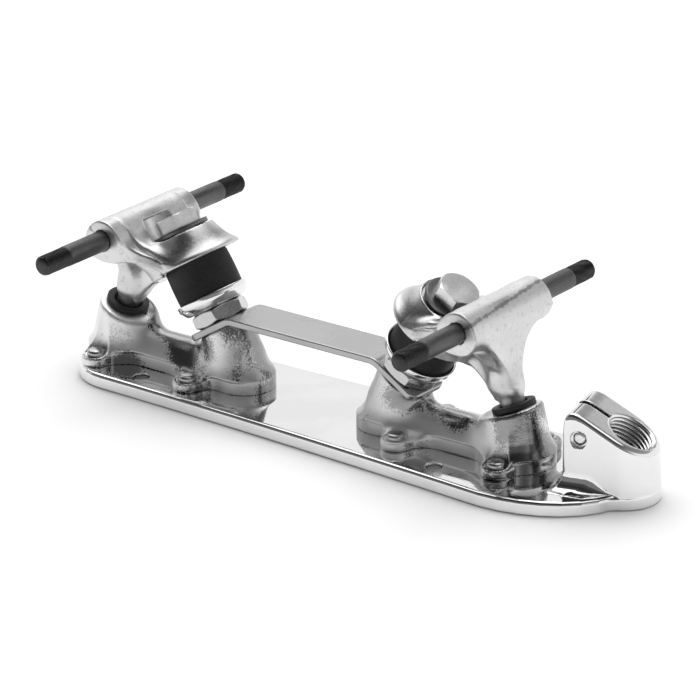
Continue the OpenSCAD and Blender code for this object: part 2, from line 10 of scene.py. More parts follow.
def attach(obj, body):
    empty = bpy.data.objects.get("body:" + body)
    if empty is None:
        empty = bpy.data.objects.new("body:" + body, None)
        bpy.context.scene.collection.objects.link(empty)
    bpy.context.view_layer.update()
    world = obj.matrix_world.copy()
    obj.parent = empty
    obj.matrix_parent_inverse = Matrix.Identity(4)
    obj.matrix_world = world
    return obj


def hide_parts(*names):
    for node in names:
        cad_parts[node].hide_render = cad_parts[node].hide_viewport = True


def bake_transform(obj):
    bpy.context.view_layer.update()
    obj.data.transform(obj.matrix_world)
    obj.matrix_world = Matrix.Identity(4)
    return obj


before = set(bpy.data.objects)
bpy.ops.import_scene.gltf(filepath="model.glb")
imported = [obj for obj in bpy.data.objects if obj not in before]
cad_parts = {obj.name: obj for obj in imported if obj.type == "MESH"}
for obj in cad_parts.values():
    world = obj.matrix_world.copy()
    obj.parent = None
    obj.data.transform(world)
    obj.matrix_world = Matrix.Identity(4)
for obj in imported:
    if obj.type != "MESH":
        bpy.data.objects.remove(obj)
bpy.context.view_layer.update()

bl_info = {
    "name": "Roller skate plate",
    "version": (1, 0, 0),
    "blender": (4, 5, 0),
    "location": "3D View > Sidebar > Skate plate",
    "description": "Builds the pieces, finishes and stage of a roller skate plate",
    "category": "Object",
}

MM = 0.001
TURN = 2 * math.pi
GRID = 0.45

# The frame's places, in millimetres and radians. u runs from an axle towards the plate's middle.
TRUCKS = {"front": (54.3, -1.0), "rear": (-91.0, 1.0)}
PLATE_T, PLATE_HALF, HEEL_HALF, HEEL_CORNER = 4.8, 112.5, 22.2, 19.5
BALL_X, BALL_HALF, SHOULDER, WIDENING = 67.6, 28.6, 37.5, 1.5
RIVET_U, RIVET_Y, RIVET_R, BOLT_U, BOLT_R = (-10.3, 29.4), 14.0, 2.0, 10.0, 2.6
BOLT_Y = {"front": 19.5, "rear": 14.6}
HOUSING_U, BOSS_U = -9.2, 43.0
AXLE_Z, AXLE_R, AXLE_HALF, THREAD_LENGTH = 53.0, 3.5, 51.85, 12.0
TUBE_R, TUBE_HALF, RING_R, HEAD_ROOM = 6.7, 21.4, 15.6, 10.3
KING_TILT, KING_Z, KING_R, BALL_DEPTH = math.radians(32.0), 24.0, 4.75, 5.0
CUP_R, CUP_RIM, CUP_DEPTH = 6.3, 1.9, 10.3
HEAD_AF, HEAD_T, NUT_AF, NUT_T, KING_HOLE_R, CUP_HOLE_R = 13.0, 4.8, 17.5, 5.2, 4.8, 4.95
W_NUT, W_CUP, W_CUSHION, W_RING, W_SEAT, W_HEAD = 2.4, 7.6, 9.2, 24.4, 34.7, 36.2
STRAP_HALF, STRAP_WIDE, STRAP_HOLE, STRAP_LEVEL, STRAP_BEND, STRAP_Z = 49.06, 8.9, 39.06, 28.35, 6.2, 23.6
TOE_AT, TOE_YAW, TOE_SLOPE = (100.1, 5.5), math.radians(15.0), math.radians(29.0)
TOE_TAIL, TOE_HALF, NOSE_R, TIP_R, TIP_X = 16.87, 11.9, 12.25, 12.35, 112.4
HOLE_X, HOLE_Z, HOLE_R, HOLE_DEPTH, SLEEVE_R = 2.9, 22.3, 7.95, 17.0, 8.6
SLOT_FLOOR, CLAMP_X, CLAMP_Z, CLAMP_SEAT = 8.8, -10.97, 21.9, 6.7

# Each frame's u, z and turn: the truck's, the kingpin's on the boss's face and the pivot cup's at its rim
FRAMES = {"truck": (0.0, 0.0, 0.0), "king": (35.5, KING_Z, KING_TILT),
          "pivot": (-7.0, 24.4, math.radians(-21.0))}


# Fields: each gives a distance in millimetres, below zero inside the metal

def join(a, b, k):
    """Union of two fields with a fillet of about k: the lower of both, rounded where they are within k."""
    h = np.maximum(k - np.abs(a - b), 0.0) / k
    return np.minimum(a, b) - h * h * k * 0.25


def meet(a, b, k):
    """Common part of two fields with an edge rounded by about k."""
    return -join(-a, -b, k)


def unit(value):
    """Value held between zero and one."""
    return np.clip(value, 0.0, 1.0)


def drum(r, h, radius, half, edge):
    """Cylinder with rounded rims: r from the axis, h along it from the middle."""
    out_r, out_h = r - radius + edge, np.abs(h) - half + edge
    return (np.minimum(np.maximum(out_r, out_h), 0.0)
            + np.hypot(np.maximum(out_r, 0.0), np.maximum(out_h, 0.0)) - edge)


def slab(across, along, half_across, half_along, edge):
    """Rounded rectangle of the given half sizes."""
    return drum(np.abs(across), along, half_across, half_along, edge)


def polygon(px, py, points):
    """Signed distance to a closed polygon: the nearest edge, signed by how often a ray crosses it."""
    nearest, sign = 1e9, 1.0
    for (ax, ay), (bx, by) in zip(points, np.roll(points, -1, axis=0)):
        ex, ey = bx - ax, by - ay
        wx, wy = px - ax, py - ay
        t = unit((wx * ex + wy * ey) / (ex * ex + ey * ey))
        nearest = np.minimum(nearest, (wx - ex * t) ** 2 + (wy - ey * t) ** 2)
        side = ex * wy - ey * wx
        up, down = (py >= ay) & (py < by) & (side > 0), (py < ay) & (py >= by) & (side < 0)
        sign = np.where(up | down, -sign, sign)
    return sign * np.sqrt(nearest)


def swung(x, y, angle):
    """Both coordinates after a turn by an angle."""
    c, s = math.cos(angle), math.sin(angle)
    return x * c - y * s, x * s + y * c


def own_frame(u, z, kind):
    """Across and along the kingpin or the pivot cup."""
    u0, z0, angle = FRAMES[kind]
    return swung(u - u0, z - z0, -angle)


def toe_frame(x, y):
    """Along and across the toe block, from the nose's centre."""
    return swung(x - TOE_AT[0], y - TOE_AT[1], -TOE_YAW)


def plate_outline():
    """Outline of the sole plate: round heel corners, sides that widen by a power law, elliptic shoulders."""
    a = np.linspace(0.0, math.pi / 2, 9)
    t = np.linspace(0.0, 1.0, 14)[1:]
    start = HEEL_CORNER - PLATE_HALF
    side = np.concatenate([
        np.stack([start - HEEL_CORNER * np.cos(a), HEEL_HALF - HEEL_CORNER * (1 - np.sin(a))], 1),
        np.stack([start + (BALL_X - start) * t, HEEL_HALF + (BALL_HALF - HEEL_HALF) * t ** WIDENING], 1),
        np.stack([BALL_X + SHOULDER * np.sin(a[1:]), BALL_HALF * np.cos(a[1:])], 1)])
    return np.concatenate([side, (side * [1, -1])[-2::-1]])


def rib_outline():
    """Side of a hanger's rib: the tube's axis, the leg, and a hollow quadratic curve up to the ring."""
    t = np.linspace(0.0, 1.0, 12)[:, None]
    curve = (1 - t) ** 2 * [-2.0, 25.2] + 2 * t * (1 - t) * [4.6, 32.9] + t * t * [13.4, 38.0]
    return np.concatenate([[(0.0, 54.0), (-4.7, 30.5)], curve, [(17.5, 42.5)]])


OUTLINE, RIB = plate_outline(), rib_outline()


def plate_field(x, y, z, sizes):
    """Sole plate and toe block: the outline with rounded edges, joined by a fillet to a block that is the
    common part of two flat sides, a round nose, a back and a sloping top, less the holes and the slot."""
    half, under_edge, draft, fillet_width = PLATE_T / 2, 0.4, 0.012, 7.0
    screw_r, tip_r, head_r, tip_depth = 2.1, 2.8, 3.7, 10.5
    crest_round, slot_half, slot_front, mouth = 8.2, 1.0, 2.0, 0.35
    bx, by = toe_frame(x, y)
    off, top = swung(bx - HOLE_X, z - HOLE_Z, TOE_SLOPE)
    flat = np.maximum(join(polygon(x, y, OUTLINE), np.hypot(bx, by) - TIP_R, 2.0), x - TIP_X)
    sheet = np.maximum(drum(flat, np.maximum(z - half, 0.0), 0.0, half, sizes["plate_edge"]),
                       drum(flat, np.minimum(z - half, 0.0), 0.0, half, under_edge))
    nose = np.hypot(np.maximum(bx, 0.0), by) - NOSE_R + draft * z
    back = -TOE_TAIL - bx
    walls = meet(meet(nose, np.abs(by) - TOE_HALF, 0.2), back, 1.2)
    block = meet(meet(walls, meet(top, back, crest_round), 1.9), -z, 0.6)
    inward = unit((-0.3 - flat) / fillet_width)
    fillet = 0.2 + sizes["block_fillet"] * inward * inward * (3.0 - 2.0 * inward)
    body = np.maximum(join(sheet, block, fillet), -z)
    bore = np.hypot(off, by) - HOLE_R - np.maximum(top + mouth, 0.0)
    body = meet(body, -np.maximum(bore, -HOLE_DEPTH - top), 0.35)
    slot = np.maximum(np.maximum(np.abs(by) - slot_half, bx - slot_front), SLOT_FLOOR - z)
    body = meet(body, -slot, 0.3)
    clamp_r = np.hypot(bx - CLAMP_X, z - CLAMP_Z)
    screw = np.minimum(np.maximum(clamp_r - tip_r, by + tip_depth),
                       np.maximum(clamp_r - head_r, CLAMP_SEAT - 0.1 - by))
    body = meet(body, -np.minimum(screw, clamp_r - screw_r), 0.25)
    for end, (x0, turn) in TRUCKS.items():
        body = meet(body, BOLT_R - np.hypot(x - x0 - turn * BOLT_U, np.abs(y) - BOLT_Y[end]), 0.5)
        for u in RIVET_U:
            body = np.maximum(body, RIVET_R + 0.05 - np.hypot(x - x0 - turn * u, np.abs(y) - RIVET_Y))
    return body


def base_field(u, y, z, sizes):
    """Truck base: a foot of two ear bars, a spine, a boss circle and a housing circle, blended in plan, under
    a round ridge, a boss that leans from its foot to a face square to the kingpin, and a tapered pivot
    housing. Wide fillets join them; a pocket is cut round each rivet."""
    fillet = sizes["base_fillet"]
    ear_r, boss_r, housing_r, ridge_r, pocket_r, pocket_z, taper = 5.2, 9.9, 12.0, 7.0, 3.9, 8.0, 0.112
    spine_u, spine_half, spine_y, foot_z, foot_half = 16.35, 26.65, 7.8, 6.5, 1.7
    ridge_u, ridge_half, ridge_z, boss_lean, boss_top, bore_depth = 17.0, 26.0, 9.2, 7.5, 27.6, 15.0
    far, height = np.abs(y), z - PLATE_T
    plan = slab(u - spine_u, y, spine_half, spine_y, 1.0)
    for eu in RIVET_U:
        plan = join(plan, np.hypot(u - eu, np.maximum(far - RIVET_Y, 0.0)) - ear_r, 9.0)
    plan = join(plan, np.hypot(u - HOUSING_U, y) - housing_r - 0.2, 2.0)
    plan = join(plan, np.hypot(u - BOSS_U, y) - boss_r - 0.3, 3.0)
    foot = drum(plan, z - foot_z, 0.0, foot_half, sizes["foot_edge"])
    ridge = np.hypot(y, np.maximum(z - ridge_z, 0.0)) - ridge_r
    ridge = meet(ridge, np.abs(u - ridge_u) - ridge_half, 2.0)
    a, w = own_frame(u, z, "king")
    rise = height / (KING_Z - PLATE_T)
    stretch = 1.0 + 0.16 * np.clip(rise, 0.0, 1.2)
    boss = (np.hypot((u - BOSS_U + boss_lean * rise) / stretch, y) - boss_r + rise) * 0.93
    boss = meet(meet(boss, w, 0.9), z - boss_top, 0.9)
    p, q = own_frame(u, z, "pivot")
    housing = np.hypot(u - HOUSING_U - height * taper, y) - housing_r + height * taper
    housing = meet(housing, q + CUP_RIM, 1.6)
    body = join(join(join(ridge, boss, fillet), housing, fillet), foot, fillet)
    body = meet(body, plan - 0.1 - 1.3 * np.maximum(z - 9.0, 0.0), 0.9)
    body = np.maximum(body, -height)
    for eu in RIVET_U:
        body = meet(body, -np.maximum(np.hypot(u - eu, far - RIVET_Y) - pocket_r, pocket_z - z), 1.0)
    body = np.maximum(body, -np.maximum(np.hypot(p, y) - CUP_R, -CUP_DEPTH - q))
    return np.maximum(body, -np.maximum(np.hypot(a, y) - KING_HOLE_R, -bore_depth - w))


def hanger_field(u, y, z, sizes):
    """Truck hanger: an axle tube, a waisted web down to the pivot leg, a rib with a hollow lower edge, and a
    skirt whose dished top falls from the tube to the rim of the kingpin ring, joined by fillets, less the
    kingpin's room, the cushion's room and the axle's bore."""
    fillet, dish = sizes["cast_fillet"], sizes["ring_dish"]
    rim_w, dish_rise, skirt_w, leg_r, seat_cone, bore_cone = 25.3, 18.8, 44.0, 3.55, 0.1459, 0.1495
    web_z, web_half, web_thick, waist, spread = 41.5, 12.5, 4.2, 4.3, 13.6
    crown_r, crown_cone, leg_length, leg_cone, rib_half = 10.6, 0.42, 12.0, 0.075, 3.0
    lip_high, lip_from, back_a = 4.6, 8.0, 18.6
    far = np.abs(y)
    a, w = own_frame(u, z, "king")
    r = np.hypot(a, y)
    tube_r = np.hypot(u, z - AXLE_Z)
    tube = drum(tube_r, y, TUBE_R, TUBE_HALF, 0.8)
    front = np.sqrt(np.maximum(RING_R ** 2 - y * y, 0.0))
    share = unit((front - a) / (front + 16.5))
    lip = np.minimum(0.6 * np.maximum(5.3 - a, 0.0), lip_high)
    lip = lip * unit((far - lip_from) / (RING_R - lip_from)) ** 1.5
    top = (w - rim_w - lip - dish_rise * share ** dish) / 1.3
    back = (-a - front - (back_a - front) * unit((w - W_RING) / 15.6)) / 1.2
    side = np.hypot(np.maximum(a, 0.0), y) - RING_R - 0.34 * np.clip(-a, 0.0, 14.0)
    skirt = meet(meet(top, side, 1.0), back, 1.6)
    skirt = np.maximum(meet(skirt, W_RING - w, 1.2), w - skirt_w)
    crown = meet((r - crown_r - crown_cone * (W_SEAT - w)) * 0.92, w - W_SEAT, 1.0)
    crown = np.maximum(crown, W_RING - w)
    width = waist + spread * np.clip((z - 31.0) / 20.0, 0.0, 1.15) ** 1.8
    mid = -4.9 + 4.9 * unit((z - 30.5) / 22.0)
    web = meet(slab(u - mid, y, web_thick, width, 2.2), np.abs(z - web_z) - web_half, 2.0)
    p, q = own_frame(u, z, "pivot")
    reach = np.clip(q + BALL_DEPTH, 0.0, leg_length)
    leg = np.hypot(np.hypot(p, y), q + BALL_DEPTH - reach) - leg_r - leg_cone * reach
    rib = drum(polygon(u, z, RIB) + 1.5, y, 1.5, rib_half, 1.3)
    body = join(join(tube, web, fillet), skirt, 2.2 * fillet)
    for each in (crown, rib, leg):
        body = join(body, each, fillet)
    under = r - 12.0 - 5.0 * unit(a / 6.0 + 1.0)
    body = meet(body, -np.maximum(under, w - W_RING), 0.6)
    room = np.maximum(np.maximum(r - HEAD_ROOM, W_SEAT - seat_cone * r - w), w - skirt_w)
    bore = np.maximum(r - CUP_HOLE_R - np.maximum(W_SEAT - w, 0.0) * bore_cone, w - W_SEAT - 1.0)
    body = meet(meet(body, -np.minimum(room, bore), 0.5), far - TUBE_HALF, 0.8)
    return np.maximum(body, AXLE_R + 0.02 - tube_r)


def strap_field(s, y, n, sizes):
    """Strap before bending: a bar with round corners and a kingpin hole at each end, its edges rounded."""
    half_thick, corner = 1.2, 3.0
    bar = drum(slab(s, y, STRAP_HALF, STRAP_WIDE, corner), n, 0.0, half_thick, sizes["strap_edge"])
    return np.maximum(bar, CUP_HOLE_R - np.hypot(np.abs(s) - STRAP_HOLE, y))


# Meshes

def surface_net(field, axes, sizes, steps=2):
    """Surface of a field on a grid of planes: one point in each cell that the surface crosses, at the mean of
    its edges' crossings, then moved onto the surface along the field's slope, and one four-sided face for
    each grid edge that crosses. Gives points, faces and the field's own directions at the points."""
    values = field(*np.meshgrid(*axes, indexing="ij", sparse=True), sizes)
    cells = tuple(n - 1 for n in values.shape)
    count, total, edges = np.zeros(cells), np.zeros((3,) + cells), []
    for axis in range(3):
        low, high = (np.take(values, range(k, k + cells[axis]), axis) for k in (0, 1))
        low_in = low < 0
        crossing = low_in != (high < 0)
        share = np.where(crossing, low / np.where(crossing, low - high, 1.0), 0.0)
        starts = [a[:-1] if i == axis else a for i, a in enumerate(axes)]
        at = np.meshgrid(*starts, indexing="ij", sparse=True)
        span = np.diff(axes[axis]).reshape([-1 if i == axis else 1 for i in range(3)])
        at = [a + share * span if i == axis else a for i, a in enumerate(at)]
        for corner in np.ndindex(2, 2):
            cut = tuple(slice(k, k + n) for k, n in zip(np.insert(corner, axis, 0), cells))
            count += crossing[cut]
            for i in range(3):
                total[i] += (crossing * at[i])[cut]
        inner = tuple(slice(None) if i == axis else slice(1, -1) for i in range(3))
        edges.append((crossing[inner], low_in[inner]))
    active = count > 0
    ids = np.full(cells, -1)
    ids[active] = np.arange(active.sum())
    points = (total[:, active] / count[active]).T
    faces = []
    for axis, (crossing, low_in) in enumerate(edges):
        where = np.argwhere(crossing)
        outward = low_in[tuple(where.T)] != (axis == 1)
        quads = np.stack([ids[tuple((where + np.insert(corner, axis, 0)).T)]
                          for corner in ((0, 0), (1, 0), (1, 1), (0, 1))], 1)
        faces.append(np.where(outward[:, None], quads, quads[:, ::-1]))
    for _ in range(steps):
        slope = gradient(field, points, sizes)
        points = points - slope * (field(*points.T, sizes) / np.maximum((slope ** 2).sum(1), 0.05))[:, None]
    slope = gradient(field, points, sizes)
    return points, np.concatenate(faces), slope / np.maximum(np.linalg.norm(slope, axis=1), 1e-6)[:, None]


def gradient(field, points, sizes, step=0.02):
    """Slope of a field at points, from differences over twice the step."""
    return np.stack([(field(*(points + d).T, sizes) - field(*(points - d).T, sizes)) / (2 * step)
                     for d in np.eye(3) * step], 1)


def planes(low, high, step=GRID, fine=()):
    """Grid planes from low to high, at the usual grid step inside the given spans."""
    marks = [low]
    while marks[-1] < high:
        near = any(a <= marks[-1] <= b for a, b in fine)
        marks.append(marks[-1] + (GRID if near else step))
    return np.array(marks)


def add_mesh(name, points, quads, triangles=None, normals=None, flip=False, sharp=None):
    """Object with the given points in metres, four-sided faces and triangles, and smooth shading."""
    triangles = np.zeros((0, 3), int) if triangles is None else triangles
    if flip:
        quads, triangles = quads[:, ::-1], triangles[:, ::-1]
    corners = np.concatenate([quads.ravel(), triangles.ravel()])
    starts = np.concatenate([4 * np.arange(len(quads)), 4 * len(quads) + 3 * np.arange(len(triangles))])
    mesh = bpy.data.meshes.new(name)
    mesh.vertices.add(len(points))
    mesh.vertices.foreach_set("co", np.ascontiguousarray(points, np.float32).ravel())
    mesh.loops.add(len(corners))
    mesh.loops.foreach_set("vertex_index", corners.astype(np.int32))
    mesh.polygons.add(len(starts))
    mesh.polygons.foreach_set("loop_start", starts.astype(np.int32))
    mesh.update(calc_edges=True)
    mesh.validate()
    mesh.shade_smooth()
    if normals is not None:
        mesh.normals_split_custom_set_from_vertices(normals.tolist())
    elif sharp is not None:
        mesh.set_sharp_from_angle(angle=math.radians(sharp))
    piece = bpy.data.objects.new(name, mesh)
    bpy.context.scene.collection.objects.link(piece)
    return piece


def mark(piece, name, values):
    """Named value at each point of a piece, which its finish reads."""
    values = np.ascontiguousarray(values, np.float32)
    piece.data.attributes.new(name, "FLOAT", "POINT").data.foreach_set("value", values)


def ring_grid(rows, poles=True):
    """Faces of a closed surface through rings: rows is (rings, points round, 3). With poles the first and the
    last ring are one point each; without them the last ring joins the first."""
    m, n = rows.shape[:2]
    here = np.arange(n)
    after = (here + 1) % n

    def bands(first, second):
        """Four-sided faces between the rings that start at first and at second."""
        return np.stack([first + here, first + after, second + after, second + here], -1).reshape(-1, 4)

    if not poles:
        start = np.arange(m)[:, None] * n
        return rows.reshape(-1, 3), bands(start, np.roll(start, -1, axis=0)), None
    points = np.concatenate([rows[:1, 0], rows[1:-1].reshape(-1, 3), rows[-1:, 0]])
    start, top = 1 + np.arange(m - 3)[:, None] * n, 1 + (m - 3) * n
    lower = np.stack([np.zeros(n, int), 1 + after, 1 + here], 1)
    upper = np.stack([np.full(n, len(points) - 1), top + here, top + after], 1)
    return points, bands(start, start + n), np.concatenate([lower, upper])


def soften(profile, radius, steps=4):
    """Profile of (r, z) corners with each corner replaced by an arc of at most the given radius."""
    profile = np.asarray(profile, float)
    t = np.linspace(0.0, 1.0, steps)[:, None]
    made = [profile[:1]]
    for before, corner, after in zip(profile[:-2], profile[1:-1], profile[2:]):
        d0, d1 = before - corner, after - corner
        l0, l1 = np.linalg.norm(d0), np.linalg.norm(d1)
        cut = min(radius, 0.45 * l0, 0.45 * l1)
        p0, p1 = corner + d0 / l0 * cut, corner + d1 / l1 * cut
        made.append((1 - t) ** 2 * p0 + 2 * t * (1 - t) * corner + t * t * p1)
    made.append(profile[-1:])
    return np.concatenate(made)


def round_angles(count):
    """Angles of points spaced evenly round a turn."""
    return np.arange(count) * TURN / count


def ring(radius, z, angle, turn=0.0):
    """Points at a radius and a height for each angle, in the piece's own frame."""
    radius, z, angle = np.broadcast_arrays(radius, z, angle + turn)
    return np.stack([radius * np.cos(angle), radius * np.sin(angle), z], -1)


def turned(profile, count=72):
    """Rings of a turned piece: r cos(angle), r sin(angle), z for each (r, z) of the profile."""
    r, z = np.asarray(profile, float).T
    return ring(r[:, None], z[:, None], round_angles(count))


def hex_radius(angle, across_flats):
    """Radius of a hexagon with a corner at angle zero."""
    return across_flats / 2 / np.cos(np.mod(angle, math.pi / 3) - math.pi / 6)


def hexagon(across_flats, height, both=False, bore=0.0, turn=0.0, count=144):
    """Rings of a hexagonal head or nut whose corners are cut by a cone at the top, or at both ends:
    at each angle the side ends where the hexagon's radius meets the cone."""
    angle = round_angles(count)
    r = hex_radius(angle, across_flats)
    flat = across_flats * (0.475 if both else 0.515)
    cut = np.maximum(r - flat, 0.0) * math.tan(math.radians(28.0))
    low = [(flat, 0.0), (r, cut)] if both else [(r - 0.15, 0.0), (r, 0.15)]
    high = [(r, height - cut), (flat, height)]
    if bore:
        rings = [(bore, 0.0), *low, *high, (bore, height)]
    else:
        inner = [(flat * 0.55, height + 0.03), (flat * 0.25, height + 0.04), (0.0, height + 0.04)]
        rings = [(0.0, 0.0), *low, *high, *inner]
    return np.stack([ring(radius, z, angle, turn) for radius, z in rings])


def placed(points, end, kind):
    """Points in the row frame, in metres, from the truck's, the kingpin's or the pivot cup's frame."""
    x, y, z = np.moveaxis(np.asarray(points, float), -1, 0)
    u0, z0, angle = FRAMES[kind]
    x, z = swung(x, z, angle)
    x0, turn = TRUCKS[end]
    return np.stack([x0 + turn * (u0 + x), y, z0 + z], -1) * MM


def toe_placed(points):
    """Points of the toe block's frame in the row frame, in metres."""
    x, y, z = np.moveaxis(np.asarray(points, float), -1, 0)
    x, y = swung(x, y, TOE_YAW)
    return np.stack([TOE_AT[0] + x, TOE_AT[1] + y, z], -1) * MM


def add_truck_mesh(end, tail, kind, points, quads, triangles=None, normals=None, sharp=None):
    """Piece of a truck from its own frame, with its faces flipped where the truck is mirrored."""
    turn = TRUCKS[end][1]
    normals = None if normals is None else normals * [turn, 1.0, 1.0]
    return add_mesh(end + tail, placed(points, end, kind), quads, triangles, normals, turn < 0, sharp)


def finish_piece(piece, body, slot, node=None):
    """Puts a piece on its body with its finish, in place of a node of the frame."""
    piece.data.materials.clear()
    piece.data.materials.append(finish(slot))
    if node:
        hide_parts(node)
    if body:
        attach(piece, body)
    return piece


def add_rings(end, tail, kind, rows, body, slot, poles=True, sharp=30, bevel=0.0):
    """Finished piece of a truck from its rings, with its sharp edges bevelled where a width is given."""
    points, quads, triangles = ring_grid(rows, poles)
    piece = add_truck_mesh(end, tail, kind, points, quads, triangles, sharp=sharp)
    if bevel:
        cut = piece.modifiers.new("edge", "BEVEL")
        cut.width, cut.segments, cut.angle_limit = bevel * MM, 2, math.radians(25)
    return finish_piece(piece, body, slot, end + tail)


# Finishes

def new_group(name, outputs):
    """Empty shader node group with a vector input and float outputs; gives it, its vector and its end."""
    group = bpy.data.node_groups.new(name, "ShaderNodeTree")
    group.interface.new_socket("Vector", in_out="INPUT", socket_type="NodeSocketVector")
    for label in outputs:
        group.interface.new_socket(label, in_out="OUTPUT", socket_type="NodeSocketFloat")
    vector = group.nodes.new("NodeGroupInput").outputs["Vector"]
    return group, vector, group.nodes.new("NodeGroupOutput").inputs


def add_node(tree, kind, inputs):
    """Shader node of a kind; each input, by name or place, is a link from a socket or a plain value."""
    node = tree.nodes.new("ShaderNode" + kind)
    for label, value in inputs.items():
        if isinstance(value, bpy.types.NodeSocket):
            tree.links.new(value, node.inputs[label])
        else:
            node.inputs[label].default_value = value
    return node


def noise(tree, vector, scale, detail, rough=0.5, distortion=0.0):
    """Noise of the given scale read from a vector socket; gives its value socket."""
    return add_node(tree, "TexNoise", {"Vector": vector, "Scale": scale, "Detail": detail, "Roughness": rough,
                                       "Distortion": distortion}).outputs["Fac"]


def remap(tree, value, low, high, to_low=0.0, to_high=1.0):
    """Value from low..high mapped smoothly to to_low..to_high."""
    node = add_node(tree, "MapRange", {"Value": value, "From Min": low, "From Max": high, "To Min": to_low,
                                       "To Max": to_high})
    node.interpolation_type = "SMOOTHSTEP"
    return node.outputs["Result"]


def combine(tree, operation, first, second):
    """Math node of two sockets or numbers."""
    node = add_node(tree, "Math", {0: first, 1: second})
    node.operation = operation
    return node.outputs["Value"]


def times(tree, first, second):
    """First times second."""
    return combine(tree, "MULTIPLY", first, second)


def plus(tree, first, second):
    """First plus second."""
    return combine(tree, "ADD", first, second)


def higher(tree, first, second):
    """The higher of both."""
    return combine(tree, "MAXIMUM", first, second)


def make_groups():
    """Effects that several finishes share: cast skin, polish marks and rubbed patches."""
    group, vector, end = new_group("cast_skin", ("Pits", "Height"))
    group.links.new(remap(group, noise(group, vector, 700.0, 4.0, 0.6), 0.55, 0.64), end["Pits"])
    grain = times(group, noise(group, vector, 2600.0, 2.0), 0.25)
    group.links.new(plus(group, noise(group, vector, 160.0, 3.0), grain), end["Height"])

    group, vector, end = new_group("polish_marks", ("Marks", "Smear"))
    lengthwise = add_node(group, "Mapping", {"Vector": vector, "Scale": (30.0, 900.0, 900.0)})
    lines = noise(group, lengthwise.outputs["Vector"], 1.0, 4.0, 0.6)
    group.links.new(remap(group, lines, 0.35, 0.75), end["Marks"])
    group.links.new(remap(group, noise(group, vector, 45.0, 3.0), 0.35, 0.7), end["Smear"])

    group, vector, end = new_group("rubbed_patches", ("Patch", "Speckle", "Edge"))
    speck = noise(group, vector, 1500.0, 3.0, 0.7)
    crumbs = times(group, combine(group, "SUBTRACT", speck, 0.5), 0.45)
    edge = plus(group, noise(group, vector, 58.0, 1.0, 0.4, 0.6), crumbs)
    group.links.new(remap(group, edge, 0.46, 0.58), end["Patch"])
    group.links.new(edge, end["Edge"])
    group.links.new(remap(group, speck, 0.42, 0.62), end["Speckle"])


def begin(name, roughness, metallic=1.0, specular=0.5):
    """Material with a principled shader and its object coordinates."""
    material = bpy.data.materials.new(name)
    material.use_nodes = True
    tree = material.node_tree
    shader = next(n for n in tree.nodes if n.type == "BSDF_PRINCIPLED")
    for label, number in (("Metallic", metallic), ("Roughness", roughness), ("Specular IOR Level", specular)):
        shader.inputs[label].default_value = number
    return material, tree, shader, tree.nodes.new("ShaderNodeTexCoord").outputs["Object"]


def use_group(tree, name, vector):
    """Outputs of a shared effect, placed at a vector."""
    node = tree.nodes.new("ShaderNodeGroup")
    node.node_tree = bpy.data.node_groups[name]
    tree.links.new(vector, node.inputs["Vector"])
    return node.outputs


def marked(tree, name):
    """Value that the mesh carries under a name."""
    node = tree.nodes.new("ShaderNodeAttribute")
    node.attribute_name = name
    return node.outputs["Fac"]


def tint(tree, shader, mask, low, high):
    """Base colour between two colours by a mask."""
    node = tree.nodes.new("ShaderNodeMix")
    node.data_type = "RGBA"
    tree.links.new(mask, node.inputs["Factor"])
    node.inputs["A"].default_value = (*low, 1.0)
    node.inputs["B"].default_value = (*high, 1.0)
    tree.links.new(node.outputs["Result"], shader.inputs["Base Color"])


def roughen(tree, shader, mask, low, high):
    """Roughness from low to high by a mask."""
    tree.links.new(remap(tree, mask, 0.0, 1.0, low, high), shader.inputs["Roughness"])


def relief(tree, shader, height, strength, distance):
    """Bump from a height socket."""
    bump = add_node(tree, "Bump", {"Strength": strength, "Distance": distance, "Height": height})
    tree.links.new(bump.outputs["Normal"], shader.inputs["Normal"])


def weather(tree, shader, vector, low, high, grain, depth=0.0003):
    """Roughness from low to high by rubbed patches, and a cast grain; gives both groups' outputs."""
    patches, skin = use_group(tree, "rubbed_patches", vector), use_group(tree, "cast_skin", vector)
    roughen(tree, shader, patches["Patch"], low, high)
    relief(tree, shader, skin["Height"], grain, depth)
    return patches, skin


def shade(colour, factor):
    """Colour times a factor, at most white."""
    return tuple(min(1.0, c * factor) for c in colour)


BLACK, WHITE = (0.0, 0.0, 0.0), (1.0, 1.0, 1.0)


def polished_metal(name, colour, roughness):
    """Mirror-polished metal with faint polishing lines and smears. Where the mesh's mark of dullness and
    painted shade rises it is rougher, and from a half on it is darker too: painted shade."""
    _, tree, shader, vector = begin(name, roughness)
    marks, dull = use_group(tree, "polish_marks", vector), marked(tree, "dull")
    # Darker where the mark passes a half: painted shade in recesses; the smears dim it a little too.
    smear_and_shade = remap(tree, dull, 0.5, 1.0, 1.0, 0.1)
    smear_and_shade = times(tree, remap(tree, marks["Smear"], 0.0, 1.0, 0.94, 1.0), smear_and_shade)
    tint(tree, shader, smear_and_shade, BLACK, colour)
    rough = remap(tree, marks["Marks"], 0.0, 1.0, roughness * 0.8, roughness * 1.6)
    tree.links.new(plus(tree, rough, times(tree, dull, 0.4)), shader.inputs["Roughness"])
    relief(tree, shader, marks["Marks"], 0.02, 0.0002)


def base_metal(name, colour, roughness):
    """Tumbled casting: dark smooth metal with pale patches that end in speckles, more of them on faces that
    lean towards the heel and the near side: painted light."""
    _, tree, shader, vector = begin(name, roughness)
    edge = use_group(tree, "rubbed_patches", vector)["Edge"]
    # Faces that lean towards the heel and the near side get more pale patches: painted light.
    patch_and_light = remap(tree, plus(tree, edge, times(tree, marked(tree, "rubbed"), 0.16)), 0.5, 0.6)
    tint(tree, shader, patch_and_light, shade(colour, 0.4), shade(colour, 1.25))
    roughen(tree, shader, patch_and_light, roughness, roughness + 0.34)
    relief(tree, shader, use_group(tree, "cast_skin", vector)["Height"], 0.3, 0.0004)


